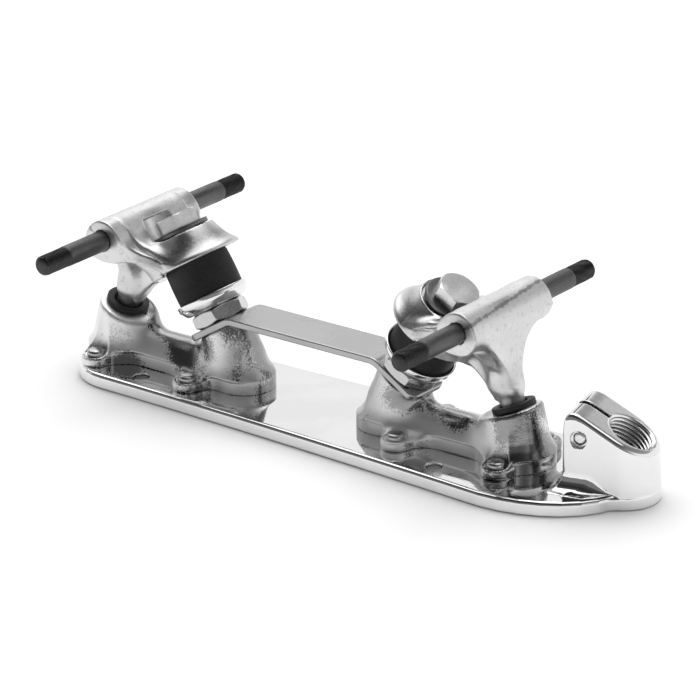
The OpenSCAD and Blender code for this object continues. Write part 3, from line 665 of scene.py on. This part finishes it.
def cast_metal(name, colour, roughness):
    """Satin casting with pits, a dark ragged parting line where the mesh's flash value is high, and speckled
    painted shade where its hollow value is."""
    _, tree, shader, vector = begin(name, roughness)
    patches, skin = weather(tree, shader, vector, roughness - 0.06, roughness + 0.08, 0.35, 0.0004)
    wander = combine(tree, "SUBTRACT", noise(tree, vector, 520.0, 4.0, 0.65), 0.5)
    ragged = remap(tree, plus(tree, marked(tree, "flash"), times(tree, wander, 1.1)), 0.62, 0.9)
    dark = higher(tree, times(tree, ragged, 0.75), times(tree, skin["Pits"], 0.22))
    speckle = remap(tree, patches["Speckle"], 0.0, 1.0, 0.7, 0.35)
    # The hollow band gets speckled painted shade.
    dark = higher(tree, dark, times(tree, marked(tree, "hollow"), speckle))
    tint(tree, shader, dark, colour, shade(colour, 0.3))


def plain_metal(name, colour, roughness):
    """Steel with worn spots, duller patches and fine grain."""
    _, tree, shader, vector = begin(name, roughness)
    patches, _ = weather(tree, shader, vector, roughness, roughness + 0.1, 0.1)
    tint(tree, shader, patches["Speckle"], shade(colour, 0.88), colour)


def oxide_metal(name, colour, roughness):
    """Black oxide steel with pale specks, darker where the mesh's thread value is high."""
    _, tree, shader, vector = begin(name, roughness)
    patches, _ = weather(tree, shader, vector, roughness, roughness + 0.14, 0.2)
    bare = combine(tree, "SUBTRACT", 1.0, times(tree, marked(tree, "thread"), 0.5))
    wear = plus(tree, 0.78, times(tree, patches["Speckle"], 0.22))
    tint(tree, shader, times(tree, bare, wear), BLACK, shade(colour, 1.4))


def rolled_metal(name, colour, roughness):
    """Rolled strip with a fine grain along its length."""
    _, tree, shader, vector = begin(name, roughness)
    marks = use_group(tree, "polish_marks", vector)
    tint(tree, shader, marks["Marks"], shade(colour, 0.97), colour)
    roughen(tree, shader, marks["Smear"], roughness - 0.04, roughness + 0.06)
    relief(tree, shader, marks["Marks"], 0.02, 0.0002)


def rubber(name, colour, roughness):
    """Matt rubber with a faint bloom and fine grain."""
    _, tree, shader, vector = begin(name, roughness, 0.0, 0.35)
    patches, _ = weather(tree, shader, vector, roughness - 0.05, roughness + 0.08, 0.2)
    tint(tree, shader, patches["Speckle"], colour, shade(colour, 1.5))


FINISHES = {
    "polished_plate": (polished_metal, "plate", 0.05),
    "base_casting": (base_metal, "base", 0.15),
    "hanger_casting": (cast_metal, "hanger", 0.34),
    "black_steel": (oxide_metal, "axle", 0.36),
    "zinc_steel": (plain_metal, "zinc", 0.32),
    "washer_steel": (plain_metal, "washer", 0.34),
    "nut_steel": (plain_metal, "nut", 0.14),
    "chrome_cup": (polished_metal, "chrome", 0.14),
    "strap_steel": (rolled_metal, "strap", 0.3),
    "rivet_steel": (plain_metal, "rivet", 0.22),
    "cushion_rubber": (rubber, "rubber", 0.62),
    "cup_rubber": (rubber, "rubber", 0.5),
}


def finish(slot):
    """Material of a slot, made on first use."""
    name = "finish_" + slot
    if name not in bpy.data.materials:
        if "cast_skin" not in bpy.data.node_groups:
            make_groups()
        make, key, roughness = FINISHES[slot]
        make(name, tuple(getattr(bpy.context.scene.skate_colours, key)), roughness)
    return bpy.data.materials[name]


# Settings

def length(name, text, value):
    """Setting of a length, given in millimetres."""
    return FloatProperty(name=name, description=text, default=value * MM, min=0.05 * MM, max=20 * MM,
                         precision=5, unit="LENGTH")


def colour(name, text, value):
    """Setting of a colour that starts as a grey."""
    return FloatVectorProperty(name=name, description=text, default=(value, value, value), min=0.0, max=1.0,
                               subtype="COLOR", size=3)


class SkatePlateSizes(bpy.types.PropertyGroup):
    """Sizes of edges, fillets and threads."""
    plate_edge: length("Plate edge", "Round of the sole plate's upper edge", 1.4)
    block_fillet: length("Block fillet", "Fillet between the toe block and the plate", 6.0)
    base_fillet: length("Base fillet", "Fillet between the parts of a base", 6.5)
    cast_fillet: length("Hanger fillet", "Fillet between the parts of a hanger", 3.4)
    foot_edge: length("Foot edge", "Round of a base's foot", 1.2)
    strap_edge: length("Strap edge", "Round of the strap's edges", 0.5)
    axle_pitch: length("Axle thread pitch", "Pitch of the axle threads", 1.0)
    axle_groove: length("Axle thread depth", "Depth of the axle threads", 0.42)
    stop_pitch: length("Stop thread pitch", "Pitch of the toe stop thread", 1.41)
    stop_groove: length("Stop thread depth", "Depth of the toe stop thread", 0.7)
    cushion_bulge: length("Cushion bulge", "How far a cushion swells at its middle", 0.25)
    ring_dish: FloatProperty(name="Ring dish", description="How hollow the top of a hanger's skirt is",
                             default=1.3, min=1.0, max=3.0)


class SkatePlateColours(bpy.types.PropertyGroup):
    """Colours of the finishes."""
    plate: colour("Plate", "Polished plate", 0.84)
    base: colour("Bases", "Base castings", 0.74)
    hanger: colour("Hangers", "Hanger castings", 0.7)
    axle: colour("Axles", "Black oxide steel", 0.1)
    zinc: colour("Kingpins", "Zinc plated steel", 0.88)
    washer: colour("Washers", "Dark steel washers", 0.2)
    nut: colour("Jam nuts", "Nut steel", 0.6)
    chrome: colour("Cup washers", "Chrome plate", 0.88)
    strap: colour("Strap", "Strap steel", 0.45)
    rivet: colour("Rivets", "Rivet heads", 0.5)
    rubber: colour("Rubber", "Cushions and pivot cups", 0.02)


def sizes_mm():
    """The size settings in millimetres, and the ring's dish as it is."""
    settings = bpy.context.scene.skate_sizes
    made = {k: getattr(settings, k) / MM for k in SkatePlateSizes.__annotations__ if k != "ring_dish"}
    return {**made, "ring_dish": settings.ring_dish}


# Operators

class SKATE_OT_plate(bpy.types.Operator):
    """Sole plate with its toe block, and the thread in the toe stop hole"""
    bl_idname = "skate.plate"
    bl_label = "Sole plate"

    def execute(self, context):
        sizes = sizes_mm()
        holes = [x0 + turn * u for x0, turn in TRUCKS.values() for u in (*RIVET_U, BOLT_U)]
        spans = [(x - 3.6, x + 3.4) for x in holes] + [(-113.5, -108.0), (80.0, 116.0)]
        axes = planes(-113.6, 113.8, 1.5, spans), planes(-29.6, 29.8), planes(-0.7, 34.0)
        points, quads, normals = surface_net(plate_field, axes, sizes)
        piece = add_mesh("plate", points * MM, quads, normals=normals)
        x, y, z = points.T
        bx, by = toe_frame(x, y)
        below_top = z < HOLE_Z - (bx - HOLE_X) * math.tan(TOE_SLOPE) - 0.7
        # The toe block's slot is marked rougher and darker: painted shade in the slot.
        mark(piece, "dull", (np.abs(by) < 1.15) & (bx < -5.5) & (z > SLOT_FLOOR - 0.3) & below_top)
        finish_piece(piece, "plate", "polished_plate", "sole_plate")
        finish_piece(self.thread(sizes), "plate", "polished_plate")
        return {"FINISHED"}

    def thread(self, sizes):
        """Sleeve with an inner thread: a radius less a cosine ridge that climbs one pitch in each turn, and a
        mouth that opens by a cone. Its mark makes it less shiny than the plate, with painted shade in the
        thread's roots."""
        thread_r = HOLE_R - 0.1
        depth, angle = np.linspace(-HOLE_DEPTH, -0.05, 160)[:, None], round_angles(96)
        wave = 0.5 - 0.5 * np.cos(TURN * depth / sizes["stop_pitch"] - angle)
        inner = ring(np.maximum(thread_r - sizes["stop_groove"] * wave, thread_r + depth + 0.4), depth, angle)
        outer = ring(SLEEVE_R, np.array([[-0.3], [-HOLE_DEPTH]]), angle)
        x, y, z = np.moveaxis(np.concatenate([inner, outer]), -1, 0)
        x, z = swung(x, z, -TOE_SLOPE)
        points, quads, _ = ring_grid(toe_placed(np.stack([HOLE_X + x, y, HOLE_Z + z], -1)), False)
        piece = add_mesh("toe_stop_thread", points, quads, flip=True)
        dull = np.full(len(points), 0.5)
        # Rougher and darker in the thread's roots: painted shade.
        dull[:wave.size] = (0.35 + 0.6 * (1.0 - wave) ** 2).ravel()
        mark(piece, "dull", dull)
        return piece


class SKATE_OT_bases(bpy.types.Operator):
    """Base castings and their rivets"""
    bl_idname = "skate.bases"
    bl_label = "Truck bases"

    def execute(self, context):
        axes = planes(-23.5, 55.0), planes(-20.5, 20.5), planes(4.2, 29.5)
        points, quads, normals = surface_net(base_field, axes, sizes_mm())
        for end, (_, turn) in TRUCKS.items():
            piece = add_truck_mesh(end, "_base", "truck", points, quads, normals=normals)
            # How far each face leans towards the heel and the near side; the finish paints those faces paler:
            # painted light.
            mark(piece, "rubbed", normals @ [-0.8 * turn, -0.6, 0.1])
            finish_piece(piece, "plate", "base_casting", end + "_base")
            self.rivets(end)
        return {"FINISHED"}

    def rivets(self, end):
        """Four low rounded heads on shanks: a profile turned about each rivet's axis."""
        shank = [(0.0, 0.05), (1.9, 0.05), (RIVET_R, 0.15), (RIVET_R, 7.9)]
        dome = soften([(3.1, 7.9), (3.1, 9.3), (2.2, 9.95), (0.0, 10.1)], 0.8)
        points, quads, triangles = ring_grid(turned(np.concatenate([shank, dome]), 40))
        shift = np.arange(4)[:, None, None] * len(points)
        places = np.array([(u, y, 0.0) for u in RIVET_U for y in (-RIVET_Y, RIVET_Y)])[:, None]
        piece = add_truck_mesh(end, "_base_rivets", "truck", (points + places).reshape(-1, 3),
                               (quads + shift).reshape(-1, 4), (triangles + shift).reshape(-1, 3), sharp=40)
        finish_piece(piece, "plate", "rivet_steel", end + "_base_rivets")


class SKATE_OT_hangers(bpy.types.Operator):
    """Hanger castings with the parting line along the tube"""
    bl_idname = "skate.hangers"
    bl_label = "Hangers"

    def execute(self, context):
        axes = planes(-16.5, 37.5), planes(-22.4, 22.4), planes(14.5, 62.5)
        points, quads, normals = surface_net(hanger_field, axes, sizes_mm())
        u, y, z = points.T
        line_angle, line_slope, line_start, flash_half = 46.5, 0.72, -8.9, 2.4
        hollow_w, hollow_half = 29.5, 4.0
        line = np.radians(line_angle - line_slope * (y - line_start))
        off = np.abs(np.arctan2(-u, z - AXLE_Z) - line) * TUBE_R
        flash = unit(1.0 - off / flash_half) * (np.hypot(u, z - AXLE_Z) < TUBE_R + 0.7)
        a, w = own_frame(u, z, "king")
        # The hollow band: round the kingpin outside its crown and over the skirt's dish; the finish paints
        # speckled shade there.
        hollow = unit(1.0 - np.abs(w - hollow_w) / hollow_half) * unit(np.hypot(a, y) - 10.6)
        hollow = hollow * unit((a + 6.0) / 4.0)
        for end in TRUCKS:
            piece = add_truck_mesh(end, "_hanger", "truck", points, quads, normals=normals)
            mark(piece, "flash", flash)
            mark(piece, "hollow", hollow)
            finish_piece(piece, end + "_truck", "hanger_casting", end + "_hanger")
        return {"FINISHED"}


class SKATE_OT_axles(bpy.types.Operator):
    """Axles with a thread at each end"""
    bl_idname = "skate.axles"
    bl_label = "Axles"

    def execute(self, context):
        for end in TRUCKS:
            piece = self.axle(end, sizes_mm())
            finish_piece(piece, end + "_truck", "black_steel", end + "_axle")
        return {"FINISHED"}

    def axle(self, end, sizes):
        """Rod along y: one radius, less a groove that climbs one pitch in each turn over a length at both
        ends, and no more than the cone of the end's bevel."""
        plain = AXLE_HALF - THREAD_LENGTH
        tip = np.arange(plain, AXLE_HALF, 0.14)
        middle = np.linspace(0.5 - plain, plain - 0.5, 30)
        y = np.concatenate([[-AXLE_HALF], -tip[::-1], middle, tip, [AXLE_HALF]])[:, None]
        angle = round_angles(64)
        wave = np.abs(np.mod(y / sizes["axle_pitch"] - angle / TURN, 1.0) * 2 - 1)

        def threaded(along):
            """0 on the plain shank, rising to 1 within 0.8 mm of where the thread starts."""
            return unit((np.abs(along) - plain) / 0.8)

        radius = AXLE_R - threaded(y) * (0.08 + sizes["axle_groove"] * wave)
        radius = np.minimum(radius, 2.55 + AXLE_HALF - np.abs(y))
        rows = np.stack([radius * np.cos(angle), y + 0 * angle, AXLE_Z - radius * np.sin(angle)], -1)
        caps = [np.broadcast_to([0.0, s * AXLE_HALF, AXLE_Z], (1, 64, 3)) for s in (-1, 1)]
        points, quads, triangles = ring_grid(np.concatenate([caps[0], rows, caps[1]]))
        piece = add_truck_mesh(end, "_axle", "truck", points, quads, triangles, sharp=55)
        mark(piece, "thread", threaded(points[:, 1]))
        return piece


class SKATE_OT_hardware(bpy.types.Operator):
    """Kingpins, flat washers, cup washers and jam nuts"""
    bl_idname = "skate.hardware"
    bl_label = "Kingpin hardware"

    def execute(self, context):
        for end, turn in (("front", 0.0), ("rear", math.radians(21.0))):
            self.kingpin(end, turn)
            self.washers(end)
            nut = hexagon(NUT_AF, NUT_T, True, KING_HOLE_R) + [0.0, 0.0, W_NUT]
            add_rings(end, "_jam_nut", "king", nut, end + "_nut", "nut_steel", False, bevel=0.25)
        return {"FINISHED"}

    def kingpin(self, end, turn):
        """Hexagonal head over a plain shank."""
        head = hexagon(HEAD_AF, HEAD_T, turn=turn) + [0.0, 0.0, W_HEAD]
        shank = turned([(0.0, -13.0), (4.4, -13.0), (KING_R, -12.6), (KING_R, W_HEAD)], 144)
        rows = np.concatenate([shank, head[1:]])
        add_rings(end, "_kingpin", "king", rows, end + "_kingpin", "zinc_steel", bevel=0.3)

    def washers(self, end):
        """Turned profiles: a flat ring, and a dish with a flared brim."""
        inner, outer, thick = KING_HOLE_R, 9.6, W_HEAD - W_SEAT
        flat = soften([(inner, thick / 2), (inner, 0.0), (outer, 0.0), (outer, thick), (inner, thick),
                       (inner, thick / 2)], 0.3)
        flat = turned(flat[:-1] + [0.0, W_SEAT])
        add_rings(end, "_kingpin_washer", "king", flat, end + "_washer", "washer_steel", False, 60)
        inner, thick, brim = CUP_HOLE_R, W_CUSHION - W_CUP, 4.5
        dish = soften([(inner, thick / 2), (inner, 0.0), (10.6, 0.0), (12.5, 2.6), (12.6, brim), (11.6, brim),
                       (11.4, thick), (inner, thick), (inner, thick / 2)], 0.7, 6)
        dish = turned(dish[:-1] + [0.0, W_CUP])
        add_rings(end, "_cup_washer", "king", dish, "plate", "chrome_cup", False, 80)


class SKATE_OT_rubber(bpy.types.Operator):
    """Cushions between the cup washer and the hanger, and pivot cups"""
    bl_idname = "skate.rubber"
    bl_label = "Rubber"

    def execute(self, context):
        for end in TRUCKS:
            self.cushion(end, sizes_mm()["cushion_bulge"])
            self.cup(end)
        return {"FINISHED"}

    def cushion(self, end, bulge):
        """Turned block whose side swells by a half sine between rounded rims, with a roomy bore."""
        height, rim_r, bore_r, rim_round, held = W_RING - W_CUSHION, 10.8, 7.2, 0.3, 3.0
        t = np.linspace(0.0, 1.0, 24)
        side_r = rim_r + rim_round * np.minimum(1, np.minimum(t, 1 - t) * 20) + bulge * np.sin(math.pi * t)
        profile = np.concatenate([np.stack([side_r, height * t], 1), [(bore_r, height), (bore_r, 0.0)]])
        rows = turned(profile + [0.0, W_CUSHION])
        piece = add_rings(end, "_cushion", "king", rows, None, "cushion_rubber", False, 40)
        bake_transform(piece)

    def cup(self, end):
        """Turned cup with a thin flange and a round socket."""
        ball_r, flange_r, floor = 3.65, 7.3, 0.05 - CUP_DEPTH
        a = np.linspace(0.0, math.pi / 2, 10)[::-1]
        socket = np.stack([ball_r * np.sin(a), -BALL_DEPTH - ball_r * np.cos(a)], 1)
        outside = soften([(0.0, floor), (CUP_R, floor), (CUP_R, -CUP_RIM), (flange_r, -CUP_RIM),
                          (flange_r, 0.0), (5.0, 0.0), (4.45, -2.0)], 0.35)
        rows = turned(np.concatenate([outside, socket]))
        add_rings(end, "_pivot_cup", "pivot", rows, "plate", "cup_rubber", sharp=50)


class SKATE_OT_strap(bpy.types.Operator):
    """Strap between the kingpin bosses"""
    bl_idname = "skate.strap"
    bl_label = "Strap"

    def execute(self, context):
        axes = planes(-49.8, 49.9, 1.2, [(-50, -30), (28, 50)]), planes(-9.6, 9.6), planes(-1.8, 1.8, 0.3)
        points, quads, normals = surface_net(strap_field, axes, sizes_mm())
        points, normals = self.bend(points, normals)
        piece = add_mesh("jump_bar", points * MM, quads, normals=normals)
        finish_piece(piece, "plate", "strap_steel", "jump_bar")
        return {"FINISHED"}

    def bend(self, points, normals):
        """Straight bar laid along its path: level in the middle, an arc at each side and a slope of the
        kingpin's tilt; a point keeps its distance along, across and off the path."""
        s, y, n = points.T
        side = np.where(s < 0, -1.0, 1.0)
        bent = np.maximum(np.abs(s) - STRAP_LEVEL, 0.0)
        turn = np.clip(bent / STRAP_BEND, 0.0, KING_TILT)
        rest = np.maximum(bent - STRAP_BEND * KING_TILT, 0.0)
        sin, cos = np.sin(turn), np.cos(turn)
        x = np.minimum(np.abs(s), STRAP_LEVEL) + STRAP_BEND * sin + rest * cos + n * sin
        z = STRAP_Z + STRAP_BEND * cos - rest * sin + n * cos
        nx = normals[:, 0] * side * cos + normals[:, 2] * sin
        nz = -normals[:, 0] * side * sin + normals[:, 2] * cos
        middle = (TRUCKS["front"][0] + TRUCKS["rear"][0]) / 2
        return np.stack([middle + side * x, y, z], 1), np.stack([side * nx, normals[:, 1], nz], 1)


class SKATE_OT_clamp(bpy.types.Operator):
    """Screw that closes the toe block's slot"""
    bl_idname = "skate.clamp"
    bl_label = "Clamp screw"

    def execute(self, context):
        angle = round_angles(72)
        side = soften([(0.0, -17.4), (1.5, -17.4), (1.95, -16.9), (2.0, 0.0), (3.5, 0.0), (3.5, 4.0),
                       (2.2, 4.0)], 0.3)
        socket = hex_radius(angle, 3.0)
        wells = [ring(k * socket, z, angle) for k, z in ((1.0, 4.0), (1.0, 2.0), (0.0, 1.8))]
        x, y, z = np.moveaxis(np.concatenate([turned(side), np.stack(wells)]), -1, 0)
        rows = np.stack([CLAMP_X + x, z + CLAMP_SEAT, CLAMP_Z - y], -1)
        points, quads, triangles = ring_grid(toe_placed(rows))
        piece = add_mesh("toe_clamp_screw", points, quads, triangles, sharp=35)
        finish_piece(piece, "clamp_screw", "zinc_steel", "toe_clamp_screw")
        return {"FINISHED"}


# Each lamp's direction, strength and spread in degrees; each grey of the studio's wall by its height
LAMPS = {"key": ((-0.45, 0.35, 0.85), 1.1, 56.0), "top": ((0.1, 0.25, 1.0), 0.6, 50.0)}
WALL = ((0.41, 1.0), (0.475, 0.36), (0.65, 0.25), (0.85, 0.12))
# The camera's right, up, back and place, in metres, as rows of its matrix
CAMERA = ((0.79661, -0.21449, 0.56516, 0.84221), (0.60444, 0.29495, -0.74004, -1.10802),
          (-0.00797, 0.93113, 0.36461, 0.57328), (0.0, 0.0, 0.0, 1.0))


class SKATE_OT_stage(bpy.types.Operator):
    """Pale floor, soft studio light and the camera"""
    bl_idname = "skate.stage"
    bl_label = "Stage"

    def execute(self, context):
        scene = context.scene
        scene.view_settings.view_transform = "Standard"
        self.floor()
        self.world(scene)
        for name, (direction, strength, spread) in LAMPS.items():
            light = bpy.data.lights.new(name, "SUN")
            light.energy, light.angle = strength, math.radians(spread)
            lamp = bpy.data.objects.new(name, light)
            scene.collection.objects.link(lamp)
            lamp.rotation_euler = Vector(direction).normalized().to_track_quat("Z", "Y").to_euler()
        camera = bpy.data.cameras.new("camera")
        camera.lens, camera.sensor_width, camera.clip_start, camera.clip_end = 235.6, 36.0, 0.05, 30.0
        eye = bpy.data.objects.new("camera", camera)
        scene.collection.objects.link(eye)
        eye.matrix_world = Matrix(CAMERA)
        scene.camera = eye
        return {"FINISHED"}

    def floor(self):
        """Level sheet just under the plate, pale and matt. Rays that see it get some light of its own, less
        of it close to the object."""
        half, drop, shadow_reach, glow = 6.0, 0.0002, 0.04, 0.42
        corners = [(-half, -half, -drop), (half, -half, -drop), (half, half, -drop), (-half, half, -drop)]
        sheet = add_mesh("floor", np.array(corners), np.array([[0, 1, 2, 3]]))
        material, tree, shader, vector = begin("floor", 0.9, 0.0, 0.0)
        tint(tree, shader, noise(tree, vector, 3.0, 1.0), shade(WHITE, 0.93), shade(WHITE, 0.94))
        path = tree.nodes.new("ShaderNodeLightPath").outputs
        seen = higher(tree, path["Is Camera Ray"], path["Is Glossy Ray"])
        seen = higher(tree, seen, path["Is Transmission Ray"])
        near = add_node(tree, "AmbientOcclusion", {"Distance": shadow_reach})
        near.samples = 8
        seen = times(tree, seen, combine(tree, "POWER", near.outputs["AO"], 2.0))
        shader.inputs["Emission Color"].default_value = (*WHITE, 1.0)
        tree.links.new(times(tree, seen, glow), shader.inputs["Emission Strength"])
        sheet.data.materials.append(material)

    def world(self, scene):
        """Studio round the object: white walls that darken upwards and towards the camera's side."""
        scene.world = bpy.data.worlds.new("studio")
        scene.world.use_nodes = True
        tree = scene.world.node_tree
        ground = next(n for n in tree.nodes if n.type == "BACKGROUND")
        split = tree.nodes.new("ShaderNodeSeparateXYZ")
        tree.links.new(tree.nodes.new("ShaderNodeTexCoord").outputs["Generated"], split.inputs["Vector"])
        ramp = tree.nodes.new("ShaderNodeValToRGB")
        tree.links.new(split.outputs["Z"], ramp.inputs["Fac"])
        stops = ramp.color_ramp.elements
        stops[0].position, stops[1].position = WALL[0][0], WALL[1][0]
        for place, _ in WALL[2:]:
            stops.new(place)
        for stop, (_, grey) in zip(stops, WALL):
            stop.color = (grey, grey, grey, 1.0)
        tree.links.new(remap(tree, split.outputs["Y"], -0.55, 0.1, 0.22, 1.0), ground.inputs["Strength"])
        tree.links.new(ramp.outputs["Color"], ground.inputs["Color"])


OPERATORS = (SKATE_OT_plate, SKATE_OT_bases, SKATE_OT_hangers, SKATE_OT_axles, SKATE_OT_hardware,
             SKATE_OT_rubber, SKATE_OT_strap, SKATE_OT_clamp, SKATE_OT_stage)


class SKATE_PT_panel(bpy.types.Panel):
    """Buttons that build the skate plate"""
    bl_idname = "SKATE_PT_panel"
    bl_label = "Skate plate"
    bl_space_type = "VIEW_3D"
    bl_region_type = "UI"
    bl_category = "Skate plate"

    def draw(self, context):
        for operator in OPERATORS:
            self.layout.operator(operator.bl_idname)
        for group in (context.scene.skate_sizes, context.scene.skate_colours):
            box = self.layout.box()
            for key in type(group).__annotations__:
                box.prop(group, key)


CLASSES = (SkatePlateSizes, SkatePlateColours, *OPERATORS, SKATE_PT_panel)


def register():
    """Adds the settings, the operators and the panel."""
    for each in CLASSES:
        bpy.utils.register_class(each)
    bpy.types.Scene.skate_sizes = PointerProperty(type=SkatePlateSizes)
    bpy.types.Scene.skate_colours = PointerProperty(type=SkatePlateColours)


def unregister():
    """Takes them away again."""
    del bpy.types.Scene.skate_sizes
    del bpy.types.Scene.skate_colours
    for each in reversed(CLASSES):
        bpy.utils.unregister_class(each)


def main():
    """Builds every piece and the stage."""
    register()
    for build in (bpy.ops.skate.plate, bpy.ops.skate.bases, bpy.ops.skate.hangers, bpy.ops.skate.axles,
                  bpy.ops.skate.hardware, bpy.ops.skate.rubber, bpy.ops.skate.strap, bpy.ops.skate.clamp,
                  bpy.ops.skate.stage):
        build()


if __name__ == "__main__":
    main()
